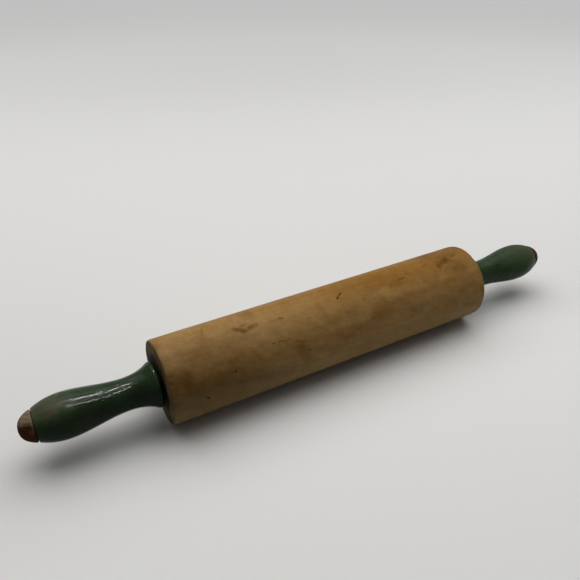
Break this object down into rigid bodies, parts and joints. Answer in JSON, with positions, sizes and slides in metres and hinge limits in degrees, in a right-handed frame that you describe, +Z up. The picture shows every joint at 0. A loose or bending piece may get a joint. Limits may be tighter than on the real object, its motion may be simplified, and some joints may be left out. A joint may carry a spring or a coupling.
{
  "type": "rolling pin",
  "caption": "Wooden rolling pin with a plain cylindrical barrel and painted, waisted handles that spin freely on headed wooden pegs, for rolling out dough and pastry.",
  "frame": {"origin": "on the table plane, under the middle of the barrel", "axes": "+X along the pin towards the right handle, +Z up"},
  "size_m": [0.4264, 0.0576, 0.0576],
  "materials": {
    "barrel_maple": "aged maple with a worn oil sheen, stained and dented by use",
    "handle_paint": "glossy dark green enamel on turned wood, worn and flecked at the tip",
    "peg_wood": "bare reddish-brown hardwood, smooth from handling"
  },
  "bodies": {
    "roller": {"barrel": "barrel_maple", "left_peg": "peg_wood", "right_peg": "peg_wood"},
    "left_handle": {"left_handle": "handle_paint"},
    "right_handle": {"right_handle": "handle_paint"}
  },
  "joints": [
    {"name": "left_handle_spin", "type": "hinge", "parent": "roller", "child": "left_handle", "pos_m": [-0.1663, 0, 0.0288], "axis": [1, 0, 0], "continuous": true},
    {"name": "right_handle_spin", "type": "hinge", "parent": "roller", "child": "right_handle", "pos_m": [0.1663, 0, 0.0288], "axis": [1, 0, 0], "continuous": true}
  ]
}
